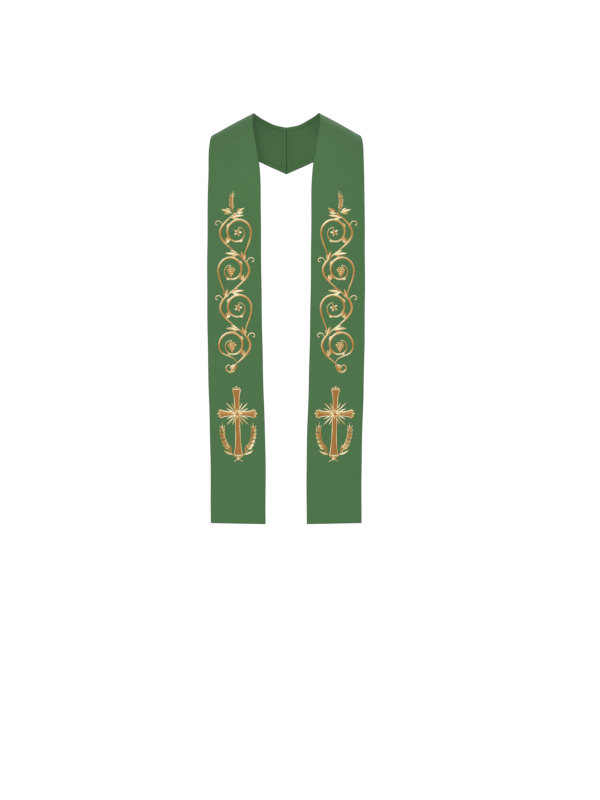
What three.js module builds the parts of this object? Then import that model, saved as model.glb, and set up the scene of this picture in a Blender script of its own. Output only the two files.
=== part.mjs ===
// A clerical stole as it is worn: one long stiffened band, cut as two mirror-image halves that are sewn
// together at the nape. Each half hangs straight down the wearer's front, bends over the shoulder beside the
// neck and runs down and inwards on the upper back to the centre seam, where the two make a shallow V.
//
// Millimetres, +Z up, the wearer faces -Y and the wearer's left is +X. The origin is in the middle of the neck,
// level with the highest points of the band, where it lies on the shoulders.
import * as THREE from "three";

// Driving dimensions.
const FRONT_DROP = 1073; // from the top of the shoulder down to the hem
const HEM_INNER = 53; // from the centre line to the inner corner of the hem
const HEM_WIDTH = 142; // the hem's width across the front, which the band keeps to above the waist
const NECK_HALF = 85; // half the neck opening, where the band crosses the top of the shoulder
const CREST_RUN = 110; // how far outwards the fold line over the shoulder runs
const CREST_FALL = 60; // and how far it falls on the way, because the shoulder slopes
const CHEST_FORWARD = 131; // the inner edges' furthest point in front of the neck's middle
const NAPE_BACK = 88; // the top of the centre seam behind the neck's middle
const NAPE_DROP = 30; // and below the top of the shoulder
const SEAM_FALL = 122; // from the seam's top down to the point of the V
const SEAM_LEAN = 30; // how much further back the point of the V lies, on the sloping back
const CLOTH = 2; // face cloth and stiffening, sewn as one wall
const SEAM_GAP = 0.3; // between the two halves, at the centre seam

// The sections of one half, from the hem up the front, over the shoulder and down to the centre seam. Each is
// a line across the band, from its inner edge to its outer edge.
//   drop    the inner edge below the top of the shoulder
//   tilt    the outer edge below the inner edge
//   inner   the inner edge from the centre line
//   outer   the outer edge from the centre line
//   yInner  the inner edge behind the neck's middle, so less than 0 in front
//   yOuter  the outer edge behind the neck's middle
//   bow     how far the middle of the section stands out from the straight line
const COLUMNS = ["place", "drop", "tilt", "inner", "outer", "yInner", "yOuter", "bow"];
const SECTIONS = [
  ["hem", FRONT_DROP, -2, HEM_INNER, HEM_INNER + HEM_WIDTH, 3 - CHEST_FORWARD, -109, 2],
  ["thigh", 889, 0, HEM_INNER, 196, 2 - CHEST_FORWARD, -109, 3],
  ["hip", 709, 0, 58.5, 201, 1 - CHEST_FORWARD, -108, 4],
  ["waist", 519, 0, 62.5, 204, -CHEST_FORWARD, -107, 5],
  ["ribs", 349, 2, 64.5, 204, 1 - CHEST_FORWARD, -105, 6],
  ["chest", 259, 5, 65, 203.5, -126, -100, 7],
  ["upper chest", 189, 14, 66, 203, -116, -91, 7],
  ["collarbone", 128, 27, 71, 202, -100, -79, 6],
  ["shoulder slope", 72, 48, 80.5, 202, -77, -60, 4],
  ["shoulder front", 26, 62, 87, 201, -40, -33, 2],
  ["crest", 0, CREST_FALL, NECK_HALF, NECK_HALF + CREST_RUN, 4, 9, 1],
  ["shoulder back", 2, 59, 78, 178, 38, 46, 2],
  ["neck back", 12, 67, 59, 145, 64, 80, 3],
  ["shoulder blade", 24, 89, 32, 86, 82, 107, 3],
  ["centre seam", NAPE_DROP, SEAM_FALL, 0, 0, NAPE_BACK, NAPE_BACK + SEAM_LEAN, 2],
].map((row) => Object.fromEntries(COLUMNS.map((column, i) => [column, row[i]])));

const STEPS_BETWEEN = 5; // facets from one section of the table to the next
const STEPS_ACROSS = 8; // facets from the inner edge to the outer edge

// The smooth line of one edge through the table's sections. It runs on one section past the seam, to where the
// other half has it, so that the two halves meet round the neck without a ridge and still make a V.
function edgeLine(points) {
  const seam = points.at(-1);
  const before = points.at(-2);
  const across = new THREE.Vector3(-before.x, before.y, 2 * seam.z - before.z);
  return new THREE.CatmullRomCurve3([...points, across], false, "centripetal");
}

const innerLine = edgeLine(SECTIONS.map((s) => new THREE.Vector3(s.inner, s.yInner, -s.drop)));
const outerLine = edgeLine(SECTIONS.map((s) => new THREE.Vector3(s.outer, s.yOuter, -s.drop - s.tilt)));

// A point in the middle of the cloth's thickness. along goes from 0 at the hem to 1 at the centre seam, and
// across from 0 at the inner edge to 1 at the outer edge.
function clothPoint(along, across) {
  const last = SECTIONS.length - 1;
  const onCurve = (along * last) / (last + 1);
  const row = Math.min(Math.floor(along * last), last - 1);
  const between = THREE.MathUtils.smoothstep(along * last - row, 0, 1);
  const inner = innerLine.getPoint(onCurve);
  const outer = outerLine.getPoint(onCurve);
  const bow = THREE.MathUtils.lerp(SECTIONS[row].bow, SECTIONS[row + 1].bow, between);
  const ahead = innerLine.getTangent(onCurve).add(outerLine.getTangent(onCurve));
  const outwards = outer.clone().sub(inner).cross(ahead).normalize();
  return inner.lerp(outer, across).addScaledVector(outwards, bow * 4 * across * (1 - across));
}

// The cloth's outward direction at a point, square to the surface.
function clothNormal(along, across) {
  const small = 1e-3;
  const slope = (a0, c0, a1, c1) =>
    clothPoint(Math.min(a1, 1), Math.min(c1, 1)).sub(clothPoint(Math.max(a0, 0), Math.max(c0, 0)));
  const sideways = slope(along, across - small, along, across + small);
  const upwards = slope(along - small, across, along + small, across);
  return sideways.cross(upwards).normalize();
}

// One half of the stole as a closed wall: an outer skin and an inner skin, half the cloth's thickness to each
// side, joined by the four edges. side is 1 for the wearer's left and -1 for the right.
function bandGeometry(side) {
  const rows = (SECTIONS.length - 1) * STEPS_BETWEEN;
  const width = STEPS_ACROSS + 1;
  const positions = [];
  for (const half of [CLOTH / 2, -CLOTH / 2]) {
    for (let i = 0; i <= rows; i++) {
      for (let j = 0; j <= STEPS_ACROSS; j++) {
        const p = clothPoint(i / rows, j / STEPS_ACROSS);
        p.addScaledVector(clothNormal(i / rows, j / STEPS_ACROSS), half);
        const x = i === rows ? SEAM_GAP / 2 : p.x;
        positions.push(side * x, p.y, p.z);
      }
    }
  }
  const skin = (rows + 1) * width;
  const outside = (i, j) => i * width + j;
  const inside = (i, j) => skin + i * width + j;
  const triangles = [];
  const quad = (a, b, c, d) => {
    if (side > 0) triangles.push(a, b, c, a, c, d);
    else triangles.push(a, c, b, a, d, c);
  };
  for (let i = 0; i < rows; i++) {
    for (let j = 0; j < STEPS_ACROSS; j++) {
      quad(outside(i, j), outside(i, j + 1), outside(i + 1, j + 1), outside(i + 1, j));
      quad(inside(i, j), inside(i + 1, j), inside(i + 1, j + 1), inside(i, j + 1));
    }
    quad(inside(i, 0), outside(i, 0), outside(i + 1, 0), inside(i + 1, 0));
    quad(
      outside(i, STEPS_ACROSS),
      inside(i, STEPS_ACROSS),
      inside(i + 1, STEPS_ACROSS),
      outside(i + 1, STEPS_ACROSS),
    );
  }
  for (let j = 0; j < STEPS_ACROSS; j++) {
    quad(inside(0, j), inside(0, j + 1), outside(0, j + 1), outside(0, j));
    quad(outside(rows, j), outside(rows, j + 1), inside(rows, j + 1), inside(rows, j));
  }
  const geometry = new THREE.BufferGeometry();
  geometry.setAttribute("position", new THREE.Float32BufferAttribute(positions, 3));
  geometry.setIndex(triangles);
  geometry.computeVertexNormals();
  return geometry;
}

const greenCloth = new THREE.MeshStandardMaterial({ color: 0x50754c, roughness: 0.8, metalness: 0 });

function band(name, side) {
  const mesh = new THREE.Mesh(bandGeometry(side), greenCloth.clone());
  mesh.name = name;
  return mesh;
}

const stole = new THREE.Group();
stole.add(band("band_left", 1));
stole.add(band("band_right", -1));

export default stole;
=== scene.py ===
"""A clerical stole as it is worn: two stiffened bands of green cloth, joined at the nape, with gold
satin-stitched embroidery on both fronts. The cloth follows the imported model's form, and all that is sewn
on it follows the cloth.

Metres, +Z up, the wearer faces -Y and the wearer's left is +X. The origin is in the middle of the neck,
level with the top of the band on the two shoulders.
"""
import math

import bpy
import numpy as np
from bpy.props import FloatProperty, FloatVectorProperty, PointerProperty
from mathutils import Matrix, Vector


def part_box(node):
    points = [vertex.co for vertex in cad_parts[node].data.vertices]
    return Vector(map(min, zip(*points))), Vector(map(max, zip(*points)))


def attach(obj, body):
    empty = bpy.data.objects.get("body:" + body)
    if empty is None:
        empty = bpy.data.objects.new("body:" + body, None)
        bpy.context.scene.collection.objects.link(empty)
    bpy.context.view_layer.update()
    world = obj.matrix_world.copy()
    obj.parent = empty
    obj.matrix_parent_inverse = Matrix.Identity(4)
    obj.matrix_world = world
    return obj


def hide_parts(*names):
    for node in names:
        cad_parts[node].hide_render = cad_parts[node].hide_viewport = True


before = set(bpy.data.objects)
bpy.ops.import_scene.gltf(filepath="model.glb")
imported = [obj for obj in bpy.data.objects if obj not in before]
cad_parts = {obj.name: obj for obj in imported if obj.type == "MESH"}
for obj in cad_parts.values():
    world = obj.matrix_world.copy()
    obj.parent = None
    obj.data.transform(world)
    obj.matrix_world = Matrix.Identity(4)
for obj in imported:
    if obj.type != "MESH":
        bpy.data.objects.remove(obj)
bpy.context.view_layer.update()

bl_info = {
    "name": "Clerical stole",
    "version": (1, 0, 0),
    "blender": (4, 5, 0),
    "location": "View3D > Sidebar > Stole",
    "description": "Makes a worn clerical stole with satin-stitched embroidery round its solid model",
    "category": "Add Mesh",
}

MM = 0.001

# One half of the stole: a row for each section, from the hem up the front, over the shoulder and down to
# the centre seam, in millimetres.
#   drop     the inner edge below the top of the shoulder
#   tilt     the outer edge below the inner edge
#   inner    the inner edge from the centre line
#   outer    the outer edge from the centre line
#   y_inner  the inner edge behind the neck's middle
#   y_outer  the outer edge behind the neck's middle
#   bow      how far the middle of the section stands out from the straight line
SECTION_COLUMNS = ("drop", "tilt", "inner", "outer", "y_inner", "y_outer", "bow")
SECTIONS = {
    "hem": (1073, -2, 53, 195, -128, -109, 2),
    "thigh": (889, 0, 53, 196, -129, -109, 3),
    "hip": (709, 0, 58.5, 201, -130, -108, 4),
    "waist": (519, 0, 62.5, 204, -131, -107, 5),
    "ribs": (349, 2, 64.5, 204, -130, -105, 6),
    "chest": (259, 5, 65, 203.5, -126, -100, 7),
    "upper chest": (189, 14, 66, 203, -116, -91, 7),
    "collarbone": (128, 27, 71, 202, -100, -79, 6),
    "shoulder slope": (72, 48, 80.5, 202, -77, -60, 4),
    "shoulder front": (26, 62, 87, 201, -40, -33, 2),
    "crest": (0, 60, 85, 195, 4, 9, 1),
    "shoulder back": (2, 59, 78, 178, 38, 46, 2),
    "neck back": (12, 67, 59, 145, 64, 80, 3),
    "shoulder blade": (24, 89, 32, 86, 82, 107, 3),
    "centre seam": (30, 122, 0, 0, 88, 118, 2),
}

# Soft folds in the cloth: a row for each, in millimetres and degrees.
#   side     1 on the wearer's left, -1 on the right
#   up       its middle's height above the hem, along the cloth
#   across   its middle's distance from the band's middle line, positive towards the outer edge
#   lean     its direction, from straight up the band towards the outer edge
#   length   from end to end, where it has fallen to about a third of its rise
#   breadth  from its crest to either side, to where it has fallen as far
#   rise     how far it stands out, less than 0 for a trough
FOLDS = (
    (1, 118, 22, 4, 150, 20, 0.7),
    (1, 95, -38, -3, 120, 16, -0.6),
    (-1, 130, -16, -5, 140, 19, 0.7),
    (-1, 84, 36, 3, 110, 15, -0.6),
    (1, 372, -30, 12, 90, 18, -0.5),
    (-1, 360, 24, -10, 100, 17, -0.5),
    (1, 905, 34, 14, 120, 17, -0.9),
    (1, 930, -26, 6, 100, 16, 0.8),
    (-1, 918, 28, 10, 130, 18, -0.9),
    (-1, 946, -30, 9, 90, 15, 0.8),
    (1, 1022, 12, 24, 80, 14, -1.0),
    (-1, 1034, 18, 20, 84, 15, -1.0),
    (1, 1128, -30, 30, 70, 10, -1.6),
    (-1, 1134, -34, 34, 64, 10, -1.8),
    (1, 1152, 2, 44, 84, 12, 2.2),
    (-1, 1158, -6, 41, 78, 12, 2.4),
    (1, 1178, -14, 55, 74, 10, -2.4),
    (-1, 1186, -18, 58, 66, 10, -2.2),
    (1, 1204, 16, 66, 60, 12, 1.8),
    (-1, 1212, 22, 70, 56, 12, 1.6),
    (1, 1232, -8, 78, 70, 11, -1.6),
    (-1, 1238, 6, 76, 64, 12, -1.8),
)

SLOW_RISE = 0.30 * MM  # height of the slow waves that run through the whole band
PUCKER_RISE = 0.14 * MM  # height of the small puckers that the embroidery draws the cloth into
WAVE_PHASE = 1.3  # keeps the waves of one band unlike the other's
SEWN_FROM, SEWN_TO = 0.13, 0.88  # the stretch above the hem that has puckers
SEWN_FADE = 0.04  # they set in and die away over this
SEAM_FADE = 0.025  # folds, waves and puckers die away over this before the centre seam
EDGE_SWAY = 0.25 * MM  # how far the edges stray from their line
SWAY_RATE = 41.0  # and how fast, in radians a metre

# A band's mesh has fine rows and columns at these distances from each edge, and even steps between them.
FINE = np.array((0.0, 0.06, 0.22, 0.5, 0.9, 1.5, 2.6, 4.5, 7.0, 9.5, 11.0, 13.0)) * MM
ROW_STEP = 4.0 * MM
COLUMN_STEP = 4.2 * MM
COLUMNS_WIDTH = 0.143  # the columns are spaced for this width, then fitted to each row's own
SWELL_OVER = 1.5 * MM  # the wall swells over this, where the turned-in cloth begins
THIN_OVER = 2.0 * MM  # and thins again over this, at the edge of the band

HEM_RINGS = np.array((-0.97, -0.5, 0.5, 0.97))  # where a hem stitch's rings are, in shares of half of it
HEM_SLANT = 0.22  # how far it leans from the edge it holds, in radians
HEM_UNEVEN = 0.10  # how much lean and length vary
HEM_PROUD = 0.1 * MM  # how far its middle line stands off the cloth
HEM_SIDES = 4


def colour(name, description, default):
    """A colour property, in scene-linear red, green and blue."""
    return FloatVectorProperty(
        name=name, description=description, default=default, subtype="COLOR", size=3, min=0.0, max=1.0
    )


def length(name, description, default, least=0.0):
    """A length property, in metres."""
    return FloatProperty(
        name=name, description=description, default=default, min=least, unit="LENGTH", precision=5
    )


class StoleCloth(bpy.types.PropertyGroup):
    """Sizes and colours of the two bands."""

    thickness: length("Thickness", "Face cloth and stiffening, sewn as one wall", 2.0 * MM)
    edge_round: length("Edge roundness", "How far from the edge the turned cloth rounds over", 1.5 * MM)
    seam_round: length("Seam roundness", "How far from the centre seam the cloth rolls into it", 1.3 * MM)
    allowance: length("Seam allowance", "Width of the turned-in cloth that thickens the edges", 11.0 * MM)
    front_rise: length("Front rise", "How far the turned-in cloth lifts the front", 0.3 * MM)
    back_rise: length("Back rise", "How far it stands above the back, where it is sewn down", 0.45 * MM)
    stitch_pitch: length("Stitch pitch", "From one hem stitch to the next on the back", 6.5 * MM)
    stitch_long: length("Stitch length", "Length of a hem stitch", 3.6 * MM)
    stitch_thick: length("Stitch thickness", "Thickness of the thread of a hem stitch", 0.55 * MM)
    rib_pitch: length("Rib pitch", "From one woven rib to the next", 0.55 * MM)
    light: colour("Lighter threads", "Colour of the cloth where it is lightest", (0.0838, 0.194, 0.0738))
    dark: colour("Darker threads", "Colour of the cloth where it is darkest", (0.0655, 0.162, 0.0580))
    stitches: colour("Hem stitches", "Colour of the thread on the back", (0.13, 0.27, 0.11))
    # The colour of the painted shade along the edges and of the painted shadow line on the back.
    edge: colour("Turned edge", "Colour of the cloth at its pressed edges", (0.034, 0.092, 0.030))


class StoleThread(bpy.types.PropertyGroup):
    """Sizes and colours of the embroidery."""

    step: length("Stitch step", "Length of stroke that one row of the mesh covers", 0.8 * MM)
    pitch: length("Thread pitch", "From one thread of a satin stitch to the next", 0.42 * MM)
    scroll_up: length("Scroll height", "The scroll's foot above the hem", 0.389)
    cross_up: length("Cross height", "The cross's foot above the hem", 0.158)
    inset: length("Inset", "How far the embroidery sits towards the inner edge", 2.0 * MM)
    copper: colour("Copper thread", "The darkest thread", (0.34, 0.136, 0.014))
    bronze: colour("Bronze thread", "The second darkest thread", (0.46, 0.24, 0.050))
    gold: colour("Gold thread", "The middle thread", (0.68, 0.47, 0.185))
    cream: colour("Cream thread", "The lightest thread", (1.0, 0.91, 0.62))


class StoleStage(bpy.types.PropertyGroup):
    """The floor, the light and the camera."""

    floor_below: length("Floor", "The floor below the origin, where a wearer stands", 1.57)
    eye_distance: length("Camera distance", "The camera in front of the bands", 7.88)
    eye_height: length("Camera height", "The camera above the origin", -0.7524, -10.0)
    eye_aside: length("Camera aside", "The camera from the centre line", 0.0359, -10.0)
    view_height: length("View height", "Height of the view at the bands", 2.0635)


def smoothstep(share):
    """3 t^2 - 2 t^3 with t held between 0 and 1: a smooth step from 0 to 1."""
    t = np.clip(share, 0.0, 1.0)
    return t * t * (3.0 - 2.0 * t)


def smooth_line(points, place):
    """Centripetal Catmull-Rom curve: from point i to point i + 1 it is the cubic whose end slopes come from
    the neighbouring points, with time steps that grow as the square root of the distance between points."""
    row = np.clip(np.floor(place).astype(int), 0, len(points) - 2)
    t = (place - row)[..., None]
    ends = np.vstack([2 * points[0] - points[1], points, 2 * points[-1] - points[-2]])
    p0, p1, p2, p3 = (ends[row + k] for k in range(4))
    d0, d1, d2 = (
        np.sqrt(np.linalg.norm(b - a, axis=-1, keepdims=True)) for a, b in ((p0, p1), (p1, p2), (p2, p3))
    )
    slope1 = ((p1 - p0) / d0 - (p2 - p0) / (d0 + d1) + (p2 - p1) / d1) * d1
    slope2 = ((p2 - p1) / d1 - (p3 - p1) / (d1 + d2) + (p3 - p2) / d2) * d1
    return (
        (2 * t**3 - 3 * t**2 + 1) * p1
        + (t**3 - 2 * t**2 + t) * slope1
        + (3 * t**2 - 2 * t**3) * p2
        + (t**3 - t**2) * slope2
    )


class Band:
    """One half of the stole, laid out in two measures in metres: up, the length along the middle line from
    the hem, and across, the distance from the middle line, positive towards the outer edge."""

    TABLE_ROWS = 2401
    SMALL = 1e-3  # a step from section to section or from edge to edge, to find a direction with

    def __init__(self, name, side, cloth):
        self.name = name
        self.side = side  # 1 for the wearer's left, -1 for the right
        self.cloth = cloth
        table = dict(zip(SECTION_COLUMNS, np.array(list(SECTIONS.values())).T * MM))
        self.inner = self.edge_line(table["inner"], table["y_inner"], -table["drop"])
        self.outer = self.edge_line(table["outer"], table["y_outer"], -table["drop"] - table["tilt"])
        self.bow = table["bow"]
        self.rows = len(SECTIONS) - 1
        self.measure()

    @staticmethod
    def edge_line(x, y, z):
        """The edge's points, with one more beyond the seam, where the other half has it."""
        beyond = (-x[-2], y[-2], 2 * z[-1] - z[-2])
        return np.vstack([np.stack([x, y, z], axis=1), beyond])

    def measure(self):
        """Makes the tables that turn a length along the middle line into a place and a width."""
        place = np.linspace(0.0, self.rows, self.TABLE_ROWS)
        middle = self.middle_surface(0.5, place)
        steps = np.linalg.norm(np.diff(middle, axis=0), axis=1)
        self.table_place = place
        self.table_up = np.concatenate([[0.0], np.cumsum(steps)])
        gap = smooth_line(self.outer, place) - smooth_line(self.inner, place)
        self.table_width = np.linalg.norm(gap, axis=1)
        self.up_length = self.table_up[-1]

    def width(self, up):
        """The band's width at a length along its middle line."""
        return np.interp(up, self.table_up, self.table_width)

    def middle_surface(self, share, place):
        """The middle of the cloth's wall: a straight line from the inner to the outer edge at each place,
        bowed outwards by 4 b s (1 - s), where b is the section's bow and s the share of the way across."""
        share, place = np.broadcast_arrays(np.asarray(share, float), place)
        inner = smooth_line(self.inner, place)
        outer = smooth_line(self.outer, place)
        row = np.clip(np.floor(place).astype(int), 0, self.rows - 1)
        blend = smoothstep(place - row)
        bow = self.bow[row] * (1 - blend) + self.bow[row + 1] * blend
        ahead = self.direction(self.inner, place) + self.direction(self.outer, place)
        outwards = np.cross(outer - inner, ahead)
        outwards /= np.linalg.norm(outwards, axis=-1, keepdims=True)
        s = share[..., None]
        return inner + (outer - inner) * s + outwards * (4 * bow[..., None] * s * (1 - s))

    def direction(self, line, place):
        """The line's unit direction, from a point a small step ahead and one a small step behind."""
        along = smooth_line(line, place + self.SMALL) - smooth_line(line, place - self.SMALL)
        return along / np.linalg.norm(along, axis=-1, keepdims=True)

    def wave(self, across, up, rate_across, rate_up, phase=1.0):
        """A sine whose crests run aslant over the cloth, with its rates in radians a metre."""
        return np.sin(up * rate_up + across * rate_across + phase * WAVE_PHASE * self.side)

    def relief(self, across, up):
        """How far folds, slow waves and puckers move the cloth outwards. A fold is a bell curve across its
        breadth that fades with another along its length, a slow wave is a sum of two sines and a pucker a
        product of two. All die away before the centre seam."""
        total = np.zeros(np.broadcast(across, up).shape)
        for side, f_up, f_across, lean, f_length, breadth, rise in FOLDS:
            if side == self.side:
                angle = math.radians(lean)
                du = up - f_up * MM
                da = across - f_across * MM
                along = du * math.cos(angle) + da * math.sin(angle)
                aside = da * math.cos(angle) - du * math.sin(angle)
                bell = np.exp(-((aside / (breadth * MM)) ** 2) - (2 * along / (f_length * MM)) ** 2)
                total = total + rise * MM * bell
        slow = self.wave(across, up, 21.0, 13.0) + 0.6 * self.wave(across, up, -17.0, 29.0, 2.2)
        pucker = self.wave(across, up, 70.0, 190.0) * self.wave(across, up, 150.0, -47.0)
        sewn = smoothstep((up - SEWN_FROM) / SEWN_FADE) * smoothstep((SEWN_TO - up) / SEWN_FADE)
        joined = smoothstep((self.up_length - up) / SEAM_FADE)
        return joined * (total + SLOW_RISE * slow + PUCKER_RISE * pucker * sewn)

    def at(self, across, up, lift):
        """The point that stands lift above the wall's middle, at across and up on the cloth. The normal it
        is lifted on comes from points a small step away, and none crosses the plane of the centre seam."""
        across, up = np.broadcast_arrays(np.asarray(across, float), np.asarray(up, float))
        place = np.interp(up, self.table_up, self.table_place)
        share = 0.5 + across / self.width(up)
        near, far = share - self.SMALL, share + self.SMALL
        sideways = self.middle_surface(far, place) - self.middle_surface(near, place)
        below, above = place - self.SMALL, place + self.SMALL
        upwards = self.middle_surface(share, above) - self.middle_surface(share, below)
        normal = np.cross(sideways, upwards)
        normal /= np.linalg.norm(normal, axis=-1, keepdims=True)
        point = self.middle_surface(share, place)
        point = point + normal * (lift + self.relief(across, up))[..., None]
        point[..., 0] = np.maximum(point[..., 0], 0.0) * self.side
        return point


def make_piece(name, points, quads, others, uv_name, uv, attribute, values, paint):
    """Makes a mesh object from its points, its four-sided and other faces, a place on the cloth or in the
    stitch for each point, and a number for each point. It rides on the stole's one body."""
    mesh = bpy.data.meshes.new(name)
    mesh.from_pydata(points.tolist(), [], quads.tolist() + others)
    corner = np.empty(len(mesh.loops), dtype=np.int32)
    mesh.loops.foreach_get("vertex_index", corner)
    layer = mesh.uv_layers.new(name=uv_name)
    layer.data.foreach_set("uv", uv[corner].astype(np.float32).ravel())
    mesh.attributes.new(attribute, "FLOAT", "POINT").data.foreach_set("value", values.astype(np.float32))
    mesh.polygons.foreach_set("use_smooth", np.ones(len(mesh.polygons), dtype=bool))
    mesh.materials.append(paint)
    mesh.validate()
    mesh.update()
    piece = bpy.data.objects.new(name, mesh)
    bpy.context.scene.collection.objects.link(piece)
    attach(piece, "root")
    return piece


def turned(faces, side):
    """The faces as they are for the wearer's left, and the other way round for the mirrored right, so that
    both point outwards."""
    return faces if side > 0 else faces[..., ::-1]


def graded(total, pitch):
    """Distances from 0 to total: the fine ones from each end, and even steps of about pitch between."""
    count = max(int(round((total - 2 * FINE[-1]) / pitch)), 1)
    between = np.linspace(FINE[-1], total - FINE[-1], count + 1)[1:-1]
    return np.concatenate([FINE, between, total - FINE[::-1]])


def rounding(distance, reach):
    """A quarter ellipse: 0 at the edge, rising as sqrt(1 - (1 - d / reach)^2) to 1 at reach."""
    return np.sqrt(1 - (1 - np.clip(distance / reach, 0, 1)) ** 2)


def band_grid(band):
    """Where the points of one half lie: across, up, their distance from the nearest edge, and the share of
    the cloth's thickness that is left there. The fine columns keep their distance from the edges of each
    row, and the others spread evenly between them. The share is a product of quarter ellipses, one each
    from the sides, the hem and the seam."""
    cloth = band.cloth
    up = graded(band.up_length, ROW_STEP)[:, None]
    hem, seam = up, band.up_length - up
    corner = cloth.edge_round * (1 - rounding(hem, cloth.edge_round))
    half = band.width(up) / 2 - corner
    columns = graded(COLUMNS_WIDTH, COLUMN_STEP)
    near = np.minimum(columns, columns[::-1])
    centre = (columns - columns.mean()) / (columns.mean() - FINE[-1])
    even = centre * (half - FINE[-1])
    straight = np.where(near >= FINE[-1], even, np.sign(centre) * (half - near))
    sway = EDGE_SWAY * np.sin(up * SWAY_RATE + band.side) * np.abs(np.clip(centre, -1, 1))
    from_side = half - np.abs(straight)
    nearest = np.minimum(np.maximum(np.minimum(from_side, hem), 0.0), seam)
    left = rounding(from_side, cloth.edge_round) * rounding(hem, cloth.edge_round)
    left = left * rounding(seam, cloth.seam_round)
    return np.broadcast_arrays(straight + sway, up, nearest, left)


def make_band(band, paint):
    """One half as a closed shell: an outer and an inner face that share their rim. Both are the band's
    surface moved out and in by half the cloth's thickness, which falls to 0 at the edges on a quarter
    ellipse and swells a little over the turned-in cloth."""
    cloth = band.cloth
    across, up, nearest, left = band_grid(band)
    swell = smoothstep((cloth.allowance - nearest) / SWELL_OVER) * smoothstep(nearest / THIN_OVER)
    front = band.at(across, up, left * (cloth.thickness / 2 + cloth.front_rise * swell))
    back = band.at(across, up, -left * (cloth.thickness / 2 + cloth.back_rise * swell))

    rows, columns = across.shape
    front_index = np.arange(rows * columns).reshape(rows, columns)
    back_index = front_index.copy()
    within = np.arange((rows - 2) * (columns - 2)).reshape(rows - 2, columns - 2)
    back_index[1:-1, 1:-1] = rows * columns + within

    def quads(index):
        """The four corners of each square between two rows and two columns."""
        corners = (index[:-1, :-1], index[:-1, 1:], index[1:, 1:], index[1:, :-1])
        return np.stack(corners, axis=-1).reshape(-1, 4)

    def both(outside, inside):
        """What belongs to the outer face's points, then to the inner face's, without the shared rim."""
        parts = (outside, inside[1:-1, 1:-1])
        return np.concatenate([part.reshape(-1, *part.shape[2:]) for part in parts])

    faces = turned(np.concatenate([quads(front_index), quads(back_index)[:, ::-1]]), band.side)
    cut = np.stack([across, up], axis=-1)
    piece = make_piece(
        band.name + "_cloth", both(front, back), faces, [], "cut", both(cut, cut),
        "edge", both(nearest, -nearest), paint,
    )
    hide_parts(band.name)
    return piece


def make_hem_stitches(band, paint):
    """Sewing stitches that hold the turned-in cloth down on the back. Each is a bar whose rings shrink as
    sqrt(1 - a^2) from its middle to its ends, a little askew along the turned-in cloth's edge."""
    cloth = band.cloth
    random = np.random.default_rng(11)
    pitch = cloth.stitch_pitch
    up = np.arange(cloth.allowance + pitch, band.up_length - cloth.allowance, pitch)
    aside = band.width(up) / 2 - cloth.allowance
    hem = np.arange(-aside[0] + pitch, aside[0] - pitch / 2, pitch)
    lines = ((-aside, up), (aside, up), (hem, np.full(len(hem), cloth.allowance)))
    centres = np.concatenate([np.stack(line, axis=1) for line in lines])
    on_hem = np.arange(len(centres)) >= 2 * len(up)
    angle = np.where(on_hem, 0.0, math.pi / 2) + HEM_SLANT
    angle = angle + HEM_UNEVEN * random.standard_normal(len(centres))
    long = cloth.stitch_long / 2 * (1 + HEM_UNEVEN * random.standard_normal(len(centres)))

    turn = np.linspace(0, 2 * math.pi, HEM_SIDES, endpoint=False) + math.pi / HEM_SIDES
    girth = cloth.stitch_thick / 2 * np.sqrt(1 - HEM_RINGS**2)
    along = HEM_RINGS[None, :, None] * long[:, None, None]
    beside = np.cos(turn) * girth[:, None]
    out = np.sin(turn) * girth[:, None] + HEM_PROUD
    c, s = np.cos(angle)[:, None, None], np.sin(angle)[:, None, None]
    across = centres[:, 0, None, None] + along * c - beside * s
    height = centres[:, 1, None, None] + along * s + beside * c
    lift = -(cloth.thickness / 2 + cloth.back_rise) - out
    across, height, lift = np.broadcast_arrays(across, height, lift)
    points = band.at(across.ravel(), height.ravel(), lift.ravel())

    index = np.arange(across.size).reshape(across.shape)
    beyond = np.roll(index, -1, axis=2)
    corners = (index[:, :-1], index[:, 1:], beyond[:, 1:], beyond[:, :-1])
    quads = np.stack(corners, axis=-1).reshape(-1, 4)
    quads = np.concatenate([quads, index[:, 0], index[:, -1, ::-1]])
    uv = np.stack([height.ravel(), across.ravel()], axis=1)
    tone = np.repeat(random.random(len(centres)), across[0].size)
    return make_piece(
        band.name + "_stitches", points, turned(quads, band.side), [], "stitch", uv,
        "tone", tone, paint,
    )


def towards(angle):
    """The unit direction at an angle in degrees, from across towards up."""
    return np.array((math.cos(math.radians(angle)), math.sin(math.radians(angle))))


def heading(step):
    """The angle of a step in degrees."""
    return math.degrees(math.atan2(step[1], step[0]))


# How many steps or points a path is drawn with.
BEND_STEPS = 40
CURL_STEPS = 160
LEAD_POINTS = 60
STEM_POINTS = 120
COIL_POINTS = 240
ARM_POINTS = 60


def walk(start, angles, steps):
    """The path from start that takes steps of these lengths at these angles in radians."""
    moves = np.stack([np.cos(angles), np.sin(angles)], axis=1) * steps
    return np.asarray(start) + np.vstack([(0, 0), np.cumsum(moves, axis=0)])


def bent(start, angle, size, turn):
    """A path from start that sets out at an angle and turns evenly by turn degrees over its length."""
    share = np.linspace(0, 1, BEND_STEPS + 1)[:-1]
    return walk(start, np.radians(angle + turn * share), size / BEND_STEPS)


def curl(start, angle, first_radius, turns, last_radius):
    """A tendril: its heading turns evenly while its radius shrinks by the same share at each step."""
    total = abs(turns) * 2 * math.pi
    phase = np.linspace(0, total, CURL_STEPS + 1)
    radius = first_radius * (last_radius / first_radius) ** (phase / total)
    angles = math.radians(angle) + math.copysign(1, turns) * phase
    return walk(start, angles, radius[:, None] * total / CURL_STEPS)


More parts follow.
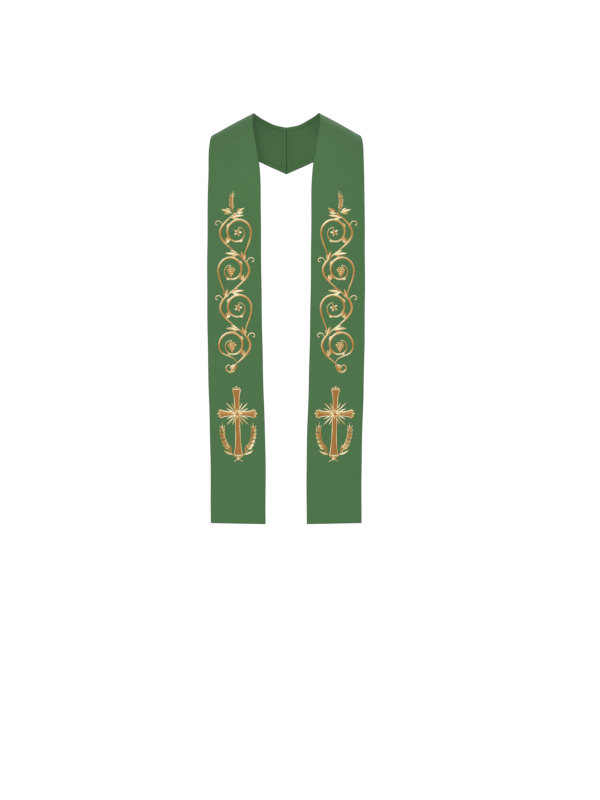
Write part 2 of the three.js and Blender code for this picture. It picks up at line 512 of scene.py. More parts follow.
def lead(start, angle, reach, end, end_angle, end_reach):
    """A cubic Bezier path from start at an angle to end at another."""
    t = np.linspace(0, 1, LEAD_POINTS)[:, None]
    start, end = np.asarray(start), np.asarray(end)
    near, far = start + towards(angle) * reach, end - towards(end_angle) * end_reach
    return (1 - t) ** 3 * start + 3 * t * (1 - t) ** 2 * near + 3 * t**2 * (1 - t) * far + t**3 * end


class Stitching:
    """Satin-stitched shapes on one band, drawn in millimetres from the foot of their design and joined into
    one mesh. Each has a light, from 0 for the copper thread to 1 for the cream one."""

    TOP = -np.cos(np.linspace(0, math.pi, 9))  # across a stroke, from one edge over the top to the other
    UNDER = np.array((0.86, -0.86))  # and back below the cloth's face
    SUNK = 0.3  # how far the underside reaches into the cloth
    BLUNT = 0.9  # how far from a blunt end a stroke falls away
    FEWEST_ROWS = 14
    THINNEST = 0.06
    TIGHTEST = 0.05  # the least length that an end rounds off over
    TIP_WIDTH, TIP_HEIGHT = 0.02, 0.15  # how far past a stroke's end its width and height would reach 0
    WAVER = 0.03  # how much a stroke's width varies from row to row
    LOW, STEEP = 0.25, 0.14  # a stroke's height without width, and what each millimetre of width adds
    LIGHT_FROM = np.array((-0.55, 0.83))  # where the painted light and shade come from, in the plane of the front

    # How far each cause makes a stroke lighter or darker: the first two are painted light, shade and sheen,
    # the last two unevenness of its threads.
    SIDE_SHADE = 0.34  # painted light and shade: lighter on the side that faces the light, darker on the inside of a bend
    RUN_SHEEN = 0.24  # painted sheen by its direction: lighter where it runs across the band, darker where it runs up it
    DRIFT_TONE = 0.10  # a slow change along it
    ROW_TONE = 0.05  # unevenness from row to row
    BROAD_BEND = 22.0  # a bend of this radius has three quarters of its painted shade, and a tighter one more
    SHEEN_TURN = 0.3  # the direction of the brightest painted sheen, in radians from straight across
    DRIFT_RATE = 0.11  # in radians a millimetre
    DRIFT_PHASE = 0.37  # and for each point made before the stroke

    DOME_SIDES = 16
    DOME_RINGS = 5
    DOME_TOP = 80  # the last ring's angle above the cloth in degrees
    DOME_LOW, DOME_STEEP = 0.3, 0.32  # a dome's height without radius, and what each millimetre of it adds
    DOME_SIDE_TONE = 0.38  # how much lighter it is towards the light
    DOME_RIM_TONE = 0.12  # and at its rim

    def __init__(self, band, thread, foot_up):
        self.band = band
        self.thread = thread
        self.foot_up = foot_up
        self.points, self.lifts, self.uvs, self.tones = [], [], [], []
        self.quads, self.caps = [], []
        self.count = 0
        self.random = np.random.default_rng(7)

    def add(self, points, lift, uv, tone, quads, caps):
        """Keeps one closed shape, with its faces numbered on from those before it."""
        self.points.append(points)
        self.lifts.append(lift)
        self.uvs.append(uv)
        self.tones.append(np.clip(tone, 0, 1).ravel())
        self.quads.append(quads + self.count)
        self.caps += [cap + self.count for cap in caps]
        self.count += len(points)

    def lit(self, directions):
        """How far directions in the plane of the front turn towards the light."""
        return directions @ (self.LIGHT_FROM * (self.band.side, 1))

    def stroke(self, path, widths, light, layer=0.0, profile=None):
        """A ridge of satin stitches: a low arch, sqrt(1 - q^2) high at the share q of its half width,
        carried along the path. Its width follows a sine from the first of widths to the second halfway and
        on to the third, and both ends round off. With a profile, its width follows that and its ends stay
        blunt."""
        path = np.asarray(path, float)
        reach = np.concatenate([[0.0], np.cumsum(np.linalg.norm(np.diff(path, axis=0), axis=1))])
        rows = max(int(math.ceil(reach[-1] / (self.thread.step / MM))), self.FEWEST_ROWS)
        s = np.linspace(0, reach[-1], rows + 1)
        middle = np.stack([np.interp(s, reach, path[:, k]) for k in range(2)], axis=1)
        share = s / s[-1]
        start, middle_width, end = widths
        near = np.where(share < 0.5, start, end)
        width = near + (middle_width - near) * np.sin(math.pi * share)
        rounded = np.maximum(width / 2, self.TIGHTEST)
        if profile is not None:
            width, rounded = profile(share), self.BLUNT
        height = self.LOW + self.STEEP * width
        width = width * (1 + self.WAVER * self.random.standard_normal(rows + 1))
        to_end = np.minimum(s, s[-1] - s)
        width = np.maximum(width * rounding(to_end + self.TIP_WIDTH, rounded), self.THINNEST)
        height = height * rounding(to_end + self.TIP_HEIGHT, rounded)
        ahead = np.gradient(middle, axis=0)
        ahead /= np.linalg.norm(ahead, axis=1, keepdims=True)
        left = np.stack([-ahead[:, 1], ahead[:, 0]], axis=1)

        q = np.concatenate([self.TOP, self.UNDER])
        aside = q * width[:, None] / 2
        points = middle[:, None, :] + left[:, None, :] * aside[..., None]
        arch = np.sqrt(1 - self.TOP**2)
        sunk = np.full((rows + 1, len(self.UNDER)), -self.SUNK)
        lift = np.hstack([layer + height[:, None] * arch, sunk])

        turning = np.gradient(np.unwrap(np.arctan2(ahead[:, 1], ahead[:, 0]))) / np.gradient(s)
        bend = np.tanh(turning * self.BROAD_BEND)
        # Painted sheen that follows the stroke's direction.
        run = np.cos(2 * np.arctan2(ahead[:, 1], ahead[:, 0] * self.band.side) - 2 * self.SHEEN_TURN)
        drift = np.sin(s * self.DRIFT_RATE + self.count * self.DRIFT_PHASE)
        row_tone = self.RUN_SHEEN * run + self.DRIFT_TONE * drift
        row_tone = row_tone + self.ROW_TONE * self.random.standard_normal(rows + 1)
        # Painted light and shade across the stroke and painted sheen along it, added to the light of its
        # thread.
        tone = light + self.SIDE_SHADE * q * (self.lit(left) - bend)[:, None] + row_tone[:, None]

        index = np.arange((rows + 1) * len(q)).reshape(rows + 1, len(q))
        around = np.roll(index, -1, axis=1)
        quads = np.stack([index[:-1], index[1:], around[1:], around[:-1]], axis=-1).reshape(-1, 4)
        uv = np.stack(np.broadcast_arrays(aside * MM, s[:, None] * MM), axis=-1)
        caps = [index[0], index[-1][::-1]]
        self.add(points.reshape(-1, 2), lift.ravel(), uv.reshape(-1, 2), tone, quads, caps)

    def dome(self, centre, radius, light, layer=0.0):
        """A padded dot: rings whose radius and height are the cosine and sine of their angle above the
        cloth, with one more ring sunk into it."""
        angle = np.linspace(0, 2 * math.pi, self.DOME_SIDES, endpoint=False)
        polar = np.radians(np.linspace(0, self.DOME_TOP, self.DOME_RINGS))
        rings = np.concatenate([[1.0], np.cos(polar)])
        top = self.DOME_LOW + self.DOME_STEEP * radius
        heights = np.concatenate([[-self.SUNK], layer + np.sin(polar) * top])
        spoke = np.stack([np.cos(angle), np.sin(angle)], axis=1)
        offset = rings[:, None, None] * spoke * radius
        tone = light + self.DOME_SIDE_TONE * self.lit(offset) / radius
        tone = tone + self.DOME_RIM_TONE * (rings[:, None] - 0.6)
        index = np.arange(len(rings) * self.DOME_SIDES).reshape(len(rings), self.DOME_SIDES)
        beside = np.roll(index, -1, axis=1)
        quads = np.stack([index[:-1], beside[:-1], beside[1:], index[1:]], axis=-1).reshape(-1, 4)
        points = (np.asarray(centre) + offset).reshape(-1, 2)
        uv = offset.reshape(-1, 2)[:, ::-1] * MM
        lift = np.repeat(heights, self.DOME_SIDES)
        self.add(points, lift, uv, tone, quads, [index[-1], index[0][::-1]])

    def finish(self, name, paint):
        """Lays all shapes on the cloth and joins them."""
        points = np.concatenate(self.points) * MM
        across = points[:, 0] - self.thread.inset
        up = points[:, 1] + self.foot_up
        lift = np.concatenate(self.lifts) * MM + self.band.cloth.thickness / 2
        quads = turned(np.concatenate(self.quads), self.band.side)
        caps = [turned(cap, self.band.side).tolist() for cap in self.caps]
        return make_piece(
            name, self.band.at(across, up, lift), quads, caps, "stitch", np.concatenate(self.uvs),
            "tone", np.concatenate(self.tones), paint,
        )


# The shapes that follow are drawn in millimetres and degrees. A stroke has three widths: at its start, its
# middle and its end.
LOBES = ((0, 1.0, 7.0, 0.55), (38, 0.68, 5.4, 0.75), (-38, 0.68, 5.4, 0.25))  # turn, share, width and light
VEIN = (1.6, 1.8, 0.5)
GRAPES = (3, 4, 3, 2, 1)  # how many there are in each row of a bunch, downwards
GRAPE = 3.1  # radius
BEARD = (1.2, 1.2, 0.5)
BEARD_LIGHT = 0.92


def sew_leaf(stitching, base, angle, size, side):
    """A vine leaf: a middle lobe, two shorter side lobes that bend back to it, and a light vein on top."""
    start = np.asarray(base) + towards(angle) * size * 0.12
    for aside, share, width, light in LOBES:
        lobe = bent(start, angle + aside, size * share, -aside * 0.8 - side * 10)
        stitching.stroke(lobe, (0.8, width, 0.3), light, 0.1)
    stitching.stroke(bent(base, angle, size * 0.8, -side * 8), VEIN, 1.0, 0.9)


def sew_grapes(stitching, centre):
    """A bunch of grapes: rows of dots that narrow downwards, with a small leaf on its stalk."""
    for row, count in enumerate(GRAPES):
        for k in range(count):
            x = (k - (count - 1) / 2) * GRAPE * 1.86
            y = 7.5 - row * GRAPE * 1.64
            stitching.dome((centre[0] + x, centre[1] + y), GRAPE, 0.36 + 0.2 * ((k + row) % 2))
    stitching.stroke(bent((centre[0] + 4.5, centre[1] + 11), 140, 7, -40), (1.0, 2.2, 0.4), 0.7, 0.2)


def sew_rosette(stitching, centre, size, petals, start, layer=0.1):
    """A flower: even pointed petals round a padded eye."""
    for k in range(petals):
        angle = start + k * 360 / petals
        petal = bent(np.asarray(centre) + towards(angle) * size * 0.28, angle, size * 0.95, 0)
        stitching.stroke(petal, (1.6, size * 0.62, 1.2), 0.68, layer)
    stitching.dome(centre, size * 0.34, 0.2, layer)


def sew_kernels(stitching, stalk, angle, turn, first, last, pairs, size):
    """The grains of an ear of wheat, in pairs along the end of a stalk, each with a thin beard."""
    for k in range(pairs):
        share = first + (last - first) * k / (pairs - 1)
        point = stalk[int(share * (len(stalk) - 1))]
        along = angle + turn * share
        for s in (1, -1):
            grain = bent(point + towards(along + 90 * s), along + s * 35, size, -s * 27)
            stitching.stroke(grain, (1.0, size * 0.48, 0.6), 0.7 if s > 0 else 0.36, 0.15)
            beard = bent(point + towards(along + s * 24) * size * 0.97, along + s * 22, 7.5, -s * 6)
            stitching.stroke(beard, BEARD, BEARD_LIGHT)
    tip, end = stalk[-1], angle + turn
    stitching.stroke(bent(tip - towards(end) * 1.5, end, size, 0), (1.0, size * 0.44, 0.4), 0.75, 0.15)
    stitching.stroke(bent(tip + towards(end) * size * 0.7, end, 9, 0), BEARD, BEARD_LIGHT)


# The scroll, in millimetres from its foot.
BAY = 97.0  # height of one bay of the winding stem
BAYS = 4
FIRST_BAY = 72.0  # the first bay's middle above the foot
WAVE = 38.0  # how far the stem swings to each side
HOLLOW = 9.0  # the coil's middle from the centre line
COIL = 34.0  # the coil's first radius
EYE = 11.5  # and its last, round the fruit or flower
COIL_TURNS = 1.25
COIL_EASE = 1.25  # the power of its turns that the radius falls with
COIL_TALL = 1.04  # how much taller than wide the coil is
STEM = (2.4, 6.2, 2.4)  # widths of one bay's stretch of the stem
BRANCH = (1.7, 6.0, 1.4)
TENDRIL = (1.8, 2.4, 1.4)
VINE_LIGHT = 0.50
SHOOTS = ((0.30, 13), (0.62, 10))  # the share of the coil where a pair of shoots leaves it, and length
SHOOT_PAIR = ((30, 1.0, 0.75), (62, 0.72, 0.4))  # each one's turn from the coil, size and light


def stem_at(height):
    """The winding stem: a cosine wave, one half of it to a bay."""
    height = np.asarray(height, float)
    return np.stack([-WAVE * np.cos(math.pi * (height - FIRST_BAY) / BAY), height], axis=-1)


def stem_heading(height):
    """The stem's direction in degrees."""
    return heading(stem_at(height + 0.1) - stem_at(height - 0.1))


def coil_path(centre, side):
    """A coil from its outermost point inwards: the radius falls from COIL to EYE with the COIL_EASE power
    of the share of its turns, and its heights are stretched by COIL_TALL."""
    share = np.linspace(0, 1, COIL_POINTS)
    radius = EYE + (COIL - EYE) * (1 - share**COIL_EASE)
    angle = share * COIL_TURNS * 2 * math.pi
    offset = np.stack([side * radius * np.cos(angle), COIL_TALL * radius * np.sin(angle)], axis=1)
    return np.asarray(centre) + offset


def sew_bay(stitching, number):
    """One bay: the stem's bulge, and in its hollow a branch that coils round fruit or a flower, with
    leaves, a tendril and small shoots."""
    side = 1 if number % 2 == 0 else -1  # the hollow side
    middle = FIRST_BAY + number * BAY
    stem = stem_at(np.linspace(middle - BAY / 2, middle + BAY / 2, STEM_POINTS))
    stitching.stroke(stem, STEM, VINE_LIGHT)
    fork_height = middle - 78 if number else middle - BAY / 2 + 2
    fork = stem_at(fork_height)
    away = stem_heading(fork_height) if number else 90 - side * 12
    coil = coil_path((side * HOLLOW, middle), side)
    branch = np.vstack([lead(fork, away, 26, coil[0], 90, 34)[:-1], coil])
    stitching.stroke(branch, BRANCH, VINE_LIGHT, 0.1)
    if number % 2 == 0:
        sew_grapes(stitching, (side * HOLLOW, middle - 2.5))
    else:
        sew_rosette(stitching, (side * HOLLOW, middle), 8.6, 5, 108)
    if number:
        sew_leaf(stitching, fork + towards(away) * 6, away - side * 10, 24, side)
    sew_leaf(stitching, stem_at(middle + 0.40 * BAY), 90 - side * 78, 33, side)
    sew_leaf(stitching, stem_at(middle - 0.30 * BAY), 90 - side * 22, 22, -side)
    root = middle + 0.16 * BAY
    tendril = curl(stem_at(root), stem_heading(root) + side * 18, 16, side * 0.98, 1.9)
    stitching.stroke(tendril, TENDRIL, 0.8)
    for share, size in SHOOTS:
        k = int(share * (len(coil) - 1))
        angle = heading(coil[k + 1] - coil[k])
        for aside, part, light in SHOOT_PAIR:
            shoot = bent(coil[k], angle - side * aside, size * part, side * 36)
            stitching.stroke(shoot, (0.6, 4.6 * part, 0.4), light, 0.1)


def sew_scroll(band, thread, paint):
    """A vine that winds up the front, from a small curl at its foot to an ear of wheat at its head."""
    stitching = Stitching(band, thread, thread.scroll_up)
    for number in range(BAYS):
        sew_bay(stitching, number)
    foot = stem_at(FIRST_BAY - BAY / 2)
    head = stem_at(FIRST_BAY + (BAYS - 0.5) * BAY)
    stitching.stroke(curl(foot, -100, 20, 1.0, 4.0), (3.0, 4.4, 1.8), VINE_LIGHT)
    sew_leaf(stitching, foot + (0, 1), -55, 26, 1)
    stalk = bent(head + (-1, -2), 62, 50, 40)
    stitching.stroke(stalk, (2.8, 1.8, 0.8), VINE_LIGHT)
    sew_kernels(stitching, stalk, 62, 40, 0.34, 0.90, 5, 8.5)
    sew_leaf(stitching, head + (6, 2), 25, 28, 1)
    sew_leaf(stitching, head + (-5, -1), 140, 24, -1)
    return stitching.finish(band.name + "_scroll", paint)


# The cross, in millimetres from the foot of its design.
CROSS_MIDDLE = np.array((0.0, 126.0))
ARMS = ((90, 62), (0, 44), (180, 44), (270, 106))  # each arm's direction and length
BUD = 3.2  # radius of the buds at the arms' ends
FILLING_LIGHT = 0.06
CORD = (2.1, 2.1, 2.1)
RIM = (2.1, 2.3, 2.1)
CORD_LIGHT = 0.92
RAYS = ((0, 32), (-19, 23), (19, 23))  # the turn from its diagonal and the length of each ray
RAY = (1.4, 3.0, 0.4)
STALK = (1.6, 2.4, 0.9)
STALK_LEAVES = ((0.30, -34, 27, 0.6), (0.36, 40, 25, 0.35))  # place, turn, length and light
STALK_LEAF = (0.8, 5.0, 0.4)


def arm_width(share):
    """Twice 5.0 + 0.6 s + 5.2 s^5, so an arm is straight for most of its length and flares at the end."""
    return 2 * (5.0 + 0.6 * share + 5.2 * share**5)


def sew_arm(stitching, angle, size):
    """One arm: a broad copper filling, a cream cord along its sides and end, and three buds on the end."""
    along, aside = towards(angle), towards(angle + 90)
    share = np.linspace(0, 1, ARM_POINTS)
    middle = CROSS_MIDDLE + np.outer(share * size, along)
    stitching.stroke(middle, (1, 1, 1), FILLING_LIGHT, 0.0, arm_width)
    for s in (1, -1):
        cord = middle + aside * s * (arm_width(share)[:, None] / 2 + 0.3)
        stitching.stroke(cord, CORD, CORD_LIGHT, 0.3)
        stitching.dome(middle[-1] + along * 2.4 + aside * s * 7.0, BUD, 0.55)
    end = middle[-1]
    corner = aside * 10.4
    rim = np.array([end + corner, end + along * 1.3, end - corner])
    stitching.stroke(rim, RIM, CORD_LIGHT, 0.3)
    stitching.dome(end + along * 5.6, BUD, 0.6)


def sew_cross(band, thread, paint):
    """A flared cross with a rosette and rays where its arms meet, above two crossed ears of wheat."""
    stitching = Stitching(band, thread, thread.cross_up)
    for quarter in (45, 135, 225, 315):
        for aside, size in RAYS:
            ray = bent(CROSS_MIDDLE + towards(quarter + aside) * 9, quarter + aside, size, 0)
            stitching.stroke(ray, RAY, 0.8)
    for s in (1, -1):
        angle, turn = 90 - s * 66, s * 70
        stalk = bent((-s * 12, 3), angle, 106, turn)
        stitching.stroke(stalk, STALK, VINE_LIGHT)
        sew_kernels(stitching, stalk, angle, turn, 0.48, 0.94, 6, 11.5)
        for share, aside, size, light in STALK_LEAVES:
            base = stalk[int(share * (len(stalk) - 1))]
            leaf = bent(base, angle + turn * share + s * aside, size, -s * aside * 0.8)
            stitching.stroke(leaf, STALK_LEAF, light, 0.1)
    for angle, size in ARMS:
        sew_arm(stitching, angle, size)
    sew_rosette(stitching, CROSS_MIDDLE, 11, 8, 0, 1.3)
    stitching.dome((0, 9.5), 4.0, 0.7)
    return stitching.finish(band.name + "_cross", paint)


class Value:
    """A socket that carries a number or a colour, so that shader maths reads as it does in Python."""

    def __init__(self, nodes, socket):
        self.nodes = nodes
        self.socket = socket

    def maths(self, operation, *inputs):
        """Adds a Math node with these inputs, which may be values or plain numbers."""
        return self.nodes.node("ShaderNodeMath", {"operation": operation}, dict(enumerate(inputs)))

    def __add__(self, other):
        return self.maths("ADD", self, other)

    def __sub__(self, other):
        return self.maths("SUBTRACT", self, other)

    def __rsub__(self, other):
        return self.maths("SUBTRACT", other, self)

    def __mul__(self, other):
        return self.maths("MULTIPLY", self, other)

    __radd__ = __add__
    __rmul__ = __mul__

    def sine(self):
        """Its sine, with the value in radians."""
        return self.maths("SINE", self)

    def size(self):
        """The value without its sign."""
        return self.maths("ABSOLUTE", self)


def pick(sockets, key):
    """The socket with that identifier or, if there is none, that name or number."""
    return next((socket for socket in sockets if socket.identifier == key), None) or sockets[key]


class Nodes:
    """A tree of shader nodes."""

    def __init__(self, tree):
        self.tree = tree

    def node(self, kind, settings=None, inputs=None, output=0):
        """Adds a node, sets it, fills its sockets with values or links, and gives one of its outputs."""
        made = self.tree.nodes.new(kind)
        for name, value in (settings or {}).items():
            if name == "stops":
                self.set_ramp(made.color_ramp, value)
            else:
                setattr(made, name, value)
        for socket, value in (inputs or {}).items():
            self.join(value, pick(made.inputs, socket))
        return Value(self, pick(made.outputs, output))

    @staticmethod
    def set_ramp(ramp, stops):
        """Gives a colour ramp its stops, each a place from 0 to 1 and a colour."""
        while len(ramp.elements) < len(stops):
            ramp.elements.new(1.0)
        for element, (place, shade) in zip(ramp.elements, stops):
            element.position = place
            element.color = (*shade, 1.0)

    def join(self, value, socket):
        """Links a value to a socket, or sets the socket to a plain number or colour."""
        if isinstance(value, Value):
            self.tree.links.new(value.socket, socket)
        else:
            socket.default_value = value


class Paint(Nodes):
    """A material with one Principled shader, whose constant finish is set on the shader's own sockets."""

    def __init__(self, name, finish):
        self.material = bpy.data.materials.new(name)
        self.material.use_nodes = True
        super().__init__(self.material.node_tree)
        self.shader = self.tree.nodes["Principled BSDF"].inputs
        for socket, value in finish.items():
            self.join(value, self.shader[socket])

    def parts(self, vector):
        """The first two numbers of a vector."""
        return [self.node("ShaderNodeSeparateXYZ", {}, {0: vector}, k) for k in (0, 1)]

    def layer(self, name):
        """A place on the cloth or in the stitch, from the piece's own map."""
        return self.node("ShaderNodeUVMap", {"uv_map": name})

    def number(self, name):
        """A number that the piece carries at each of its points."""
        return self.node("ShaderNodeAttribute", {"attribute_name": name}, output="Fac")

    def noise(self, scale, detail, vector):
        """Soft random clouds between 0 and 1."""
        return self.node("ShaderNodeTexNoise", {}, {"Vector": vector, "Scale": scale, "Detail": detail})

    def fade(self, value, start, end):
        """1 up to start, falling smoothly to 0 at end."""
        limits = {"Value": value, "From Min": start, "From Max": end, "To Min": 1.0, "To Max": 0.0}
        return self.node("ShaderNodeMapRange", {"interpolation_type": "SMOOTHSTEP"}, limits)

    def mix(self, share, first, second):
        """A colour that goes from the first to the second."""
        first, second = (shade if isinstance(shade, Value) else (*shade, 1.0) for shade in (first, second))
        inputs = {"Factor_Float": share, "A_Color": first, "B_Color": second}
        return self.node("ShaderNodeMix", {"data_type": "RGBA"}, inputs, "Result_Color")

    def surface(self, base, roughness, height, distance, strength):
        """Feeds what varies over the surface to the shader."""
        relief = {"Height": height, "Distance": distance, "Strength": strength}
        self.join(base, self.shader["Base Color"])
        self.join(roughness, self.shader["Roughness"])
        self.join(self.node("ShaderNodeBump", {}, relief), self.shader["Normal"])


def cloth_paint(cloth):
    """Matt ribbed cloth: fine ribs across the band and finer warp between them, with painted shade in their
    grooves, slight clouds of lighter and darker green, painted shade along the turned edges, and a painted
    shadow line on the back where the turned-in cloth ends."""
    finish = {"Specular IOR Level": 0.14, "Sheen Weight": 0.04, "Sheen Roughness": 0.6}
    paint = Paint("ribbed_cloth", finish)
    cut = paint.layer("cut")
    across, up = paint.parts(cut)
    rib = (up * (math.pi / cloth.rib_pitch)).sine().size()
    warp = (across * (math.pi / (0.62 * cloth.rib_pitch))).sine().size()
    stretched = paint.node("ShaderNodeMapping", {}, {"Vector": cut, "Scale": (1.0, 0.12, 1.0)})
    slub = paint.noise(900.0, 2.0, stretched)
    cloud = paint.noise(26.0, 3.0, cut)
    broad = paint.noise(5.0, 2.0, cut)
    edge = paint.number("edge")  # less than 0 on the back
    # Painted shade along the edges, within a few millimetres of them.
    edge_shade = paint.fade(edge.size(), 0.3 * MM, 2.4 * MM)
    back = paint.fade(edge, -1.0 * MM, -0.2 * MM)
    # A painted shadow line on the back, where the turned-in cloth ends.
    allowance_shadow = paint.fade((edge.size() - cloth.allowance).size(), 0.2 * MM, 1.1 * MM) * back
    weave = rib * 0.6 + warp * 0.4
    # The weave term paints shade in the grooves: the cloth is darker where ribs and warp are low.
    shade = cloud * 0.30 + broad * 0.30 + slub * 0.35 + (0.6 - weave) * 0.5
    base = paint.mix(shade, cloth.light, cloth.dark)
    # Mixes in the painted shade of the edges and the painted shadow line.
    base = paint.mix(edge_shade * (0.75 + cloud * 0.25) + allowance_shadow * 0.7, base, cloth.edge)
    paint.surface(base, 0.72 + cloud * 0.12, weave + slub * 0.3, 0.22 * MM, 1.0)
    return paint.material


def sewing_paint(cloth):
    """Green sewing thread, some stitches a little darker, with its twist across it."""
    paint = Paint("sewing_thread", {"Specular IOR Level": 0.35})
    along, _ = paint.parts(paint.layer("stitch"))
    tone = paint.number("tone")
    twist = (along * (math.pi / (0.5 * MM))).sine().size()
    base = paint.mix(tone * 0.5 + twist * 0.3, cloth.stitches, cloth.dark)
    paint.surface(base, 0.5 + tone * 0.1, twist, 0.1 * MM, 0.6)
    return paint.material


def thread_paint(thread):
    """Glossy thread: the tone of each stroke, which holds its thread with the painted light, shade and
    sheen laid on it, picks the colour, and fine threads lie side by side across the stroke, each a little
    lighter or darker than the next, with painted shade in the grooves between them."""
    paint = Paint("satin_stitch", {"Specular IOR Level": 0.3})
    across, along = paint.parts(paint.layer("stitch"))
    slant = along + across * 0.22
    ridge = (slant * (math.pi / thread.pitch)).sine().size()
    one_thread = {"X": slant * (1.0 / thread.pitch), "Y": across * 60.0}
    strand = paint.noise(1.0, 0.0, paint.node("ShaderNodeCombineXYZ", {}, one_thread))
    # The stitch ridges add painted shade in the grooves between the threads.
    shade = paint.number("tone") + (strand - 0.5) * 0.30 + (ridge - 0.6) * 0.10
    stops = ((0.0, thread.copper), (0.32, thread.bronze), (0.64, thread.gold), (1.0, thread.cream))
    base = paint.node("ShaderNodeValToRGB", {"stops": stops}, {"Fac": shade})
    paint.surface(base, 0.36 + strand * 0.16, ridge + strand * 0.4, 0.12 * MM, 0.6)
    return paint.material


def material_once(name, make, sizes):
    """The material of that name, made the first time it is asked for."""
    return bpy.data.materials.get(name) or make(sizes)


def stole_bands(scene):
    """The two halves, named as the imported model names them."""
    bands = [Band("band_left", 1, scene.stole_cloth), Band("band_right", -1, scene.stole_cloth)]
    for band in bands:
        if band.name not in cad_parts:
            raise RuntimeError(f"the packed model has no node {band.name}")
    return bands


class STOLE_OT_embroidery(bpy.types.Operator):
    """Sews the scroll and the cross on both fronts"""

    bl_idname = "stole.embroidery"
    bl_label = "Sew embroidery"

    def execute(self, context):
        thread = context.scene.stole_thread
        paint = material_once("satin_stitch", thread_paint, thread)
        for band in stole_bands(context.scene):
            sew_scroll(band, thread, paint)
            sew_cross(band, thread, paint)
        return {"FINISHED"}


class STOLE_OT_bands(bpy.types.Operator):
    """Makes the two bands of cloth under the embroidery, with their turned edges and rolled seam"""

    bl_idname = "stole.bands"
    bl_label = "Make bands"

    def execute(self, context):
        cloth = context.scene.stole_cloth
        paint = material_once("ribbed_cloth", cloth_paint, cloth)
        thread = material_once("sewing_thread", sewing_paint, cloth)
        for band in stole_bands(context.scene):
            piece = make_band(band, paint)
            # The embroidery is sewn first, so that its pieces can be listed here with the hem stitches.
            sewn_on = [bpy.data.objects[band.name + end] for end in ("_scroll", "_cross")]
            sewn_on.append(make_hem_stitches(band, thread))
        return {"FINISHED"}


# Soft lights: a row for each, with its name, its place and aim in metres, its side and its power in watts.
LIGHTS = (
    ("key", (-0.3, -6.3, 1.3), (0.0, 0.0, -0.6), 1.6, 228.0),
    ("back", (0.4, 4.6, 3.4), (0.0, 0.0, -0.3), 1.4, 190.0),
)
ROOM_LIGHT = 0.50  # how strongly the white room lights the cloth
ROOM_WHITE = 1.05  # and how white it is behind it
FLOOR_GLOW = 0.6
FLOOR_HALF = 12.0  # half the floor's side


def floor_paint():
    """A plain white floor with a soft, hardly visible grain."""
    glow = {"Emission Color": (1.0, 1.0, 1.0, 1.0), "Emission Strength": FLOOR_GLOW}
    paint = Paint("white_floor", {**glow, "Specular IOR Level": 0.1})
    grain = paint.noise(3.0, 2.0, paint.node("ShaderNodeTexCoord", output="Object"))
    base = paint.mix(grain, (0.93, 0.93, 0.93), (0.96, 0.96, 0.96))
    paint.surface(base, 0.9 + grain * 0.05, grain, 0.1 * MM, 0.1)
    return paint.material


def add_floor(scene, height):
    """A wide white floor, which throws no light back on the cloth."""
    x, y = (FLOOR_HALF * np.array(signs) for signs in ((-1, 1, 1, -1), (-1, -1, 1, 1)))
    mesh = bpy.data.meshes.new("floor")
    mesh.from_pydata(np.stack([x, y, np.full(4, height)], axis=1).tolist(), [], [(0, 1, 2, 3)])
    mesh.materials.append(floor_paint())
    floor = bpy.data.objects.new("floor", mesh)
    floor.visible_diffuse = False
    scene.collection.objects.link(floor)


def add_light(scene):
    """White surroundings and the soft lights."""
    world = bpy.data.worlds.new("white_room")
    world.use_nodes = True
    room = Nodes(world.node_tree)
    background = room.tree.nodes["Background"].inputs
    room.join((1.0, 1.0, 1.0, 1.0), background["Color"])
    seen = room.node("ShaderNodeLightPath", output="Is Camera Ray")
    levels = {"Value": seen, "To Min": ROOM_LIGHT, "To Max": ROOM_WHITE}
    room.join(room.node("ShaderNodeMapRange", {}, levels), background["Strength"])
    scene.world = world
    for name, place, aim, side, watts in LIGHTS:
        lamp = bpy.data.lights.new(name, "AREA")
        lamp.shape = "SQUARE"
        lamp.size = side
        lamp.energy = watts
        light = bpy.data.objects.new(name, lamp)
        light.location = place
        light.rotation_euler = (Vector(aim) - Vector(place)).to_track_quat("-Z", "Y").to_euler()
        scene.collection.objects.link(light)
    scene.view_settings.view_transform = "Standard"


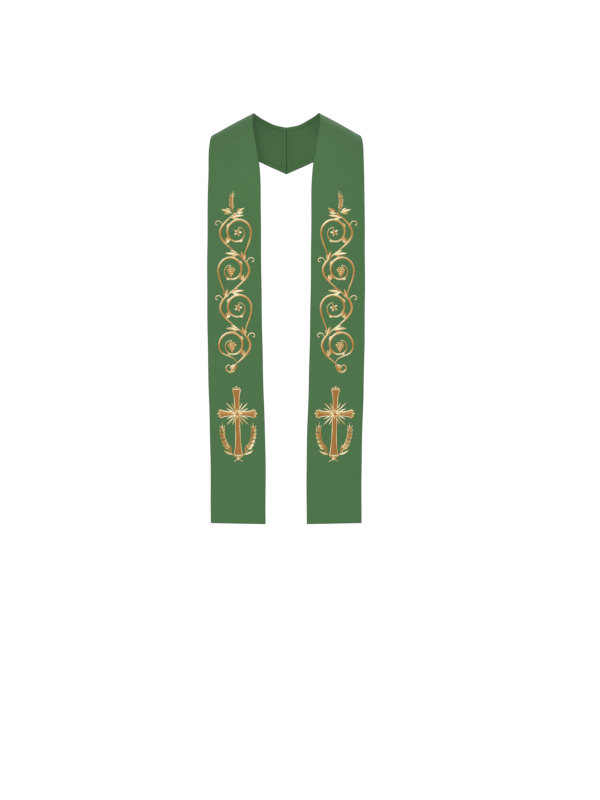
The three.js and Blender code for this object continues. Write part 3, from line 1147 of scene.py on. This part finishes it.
def add_camera(scene, stage):
    """A level camera far in front, whose lens takes in view_height at the bands."""
    lens = bpy.data.cameras.new("camera")
    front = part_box("band_left")[0].y
    lens.sensor_width = 36.0
    lens.lens = lens.sensor_width * stage.eye_distance / stage.view_height
    lens.clip_end = 60.0
    camera = bpy.data.objects.new("camera", lens)
    camera.location = (stage.eye_aside, front - stage.eye_distance, stage.eye_height)
    camera.rotation_euler = (math.radians(90), 0, 0)
    scene.collection.objects.link(camera)
    scene.camera = camera


class STOLE_OT_stage(bpy.types.Operator):
    """Sets the floor, the light and the camera"""

    bl_idname = "stole.stage"
    bl_label = "Set stage"

    def execute(self, context):
        stage = context.scene.stole_stage
        add_floor(context.scene, -stage.floor_below)
        add_light(context.scene)
        add_camera(context.scene, stage)
        return {"FINISHED"}


class STOLE_PT_panel(bpy.types.Panel):
    """Lists the steps that make the stole, with their sizes and colours"""

    bl_idname = "STOLE_PT_panel"
    bl_label = "Clerical stole"
    bl_space_type = "VIEW_3D"
    bl_region_type = "UI"
    bl_category = "Stole"

    def draw(self, context):
        for group, operator in (
            ("stole_thread", "stole.embroidery"),
            ("stole_cloth", "stole.bands"),
            ("stole_stage", "stole.stage"),
        ):
            box = self.layout.box()
            settings = getattr(context.scene, group)
            for name in settings.__annotations__:
                box.prop(settings, name)
            box.operator(operator)


GROUPS = {"stole_cloth": StoleCloth, "stole_thread": StoleThread, "stole_stage": StoleStage}
OPERATORS = (STOLE_OT_embroidery, STOLE_OT_bands, STOLE_OT_stage)
CLASSES = (*GROUPS.values(), *OPERATORS, STOLE_PT_panel)


def register():
    """Adds the classes, and the three groups of sizes and colours to the scene."""
    for made in CLASSES:
        bpy.utils.register_class(made)
    for name, group in GROUPS.items():
        setattr(bpy.types.Scene, name, PointerProperty(type=group))


def unregister():
    """Takes the groups and the classes away again."""
    for name in GROUPS:
        delattr(bpy.types.Scene, name)
    for made in reversed(CLASSES):
        bpy.utils.unregister_class(made)


def main():
    """Makes the stole and its stage."""
    register()
    bpy.ops.stole.embroidery()
    bpy.ops.stole.bands()
    bpy.ops.stole.stage()


if __name__ == "__main__":
    main()
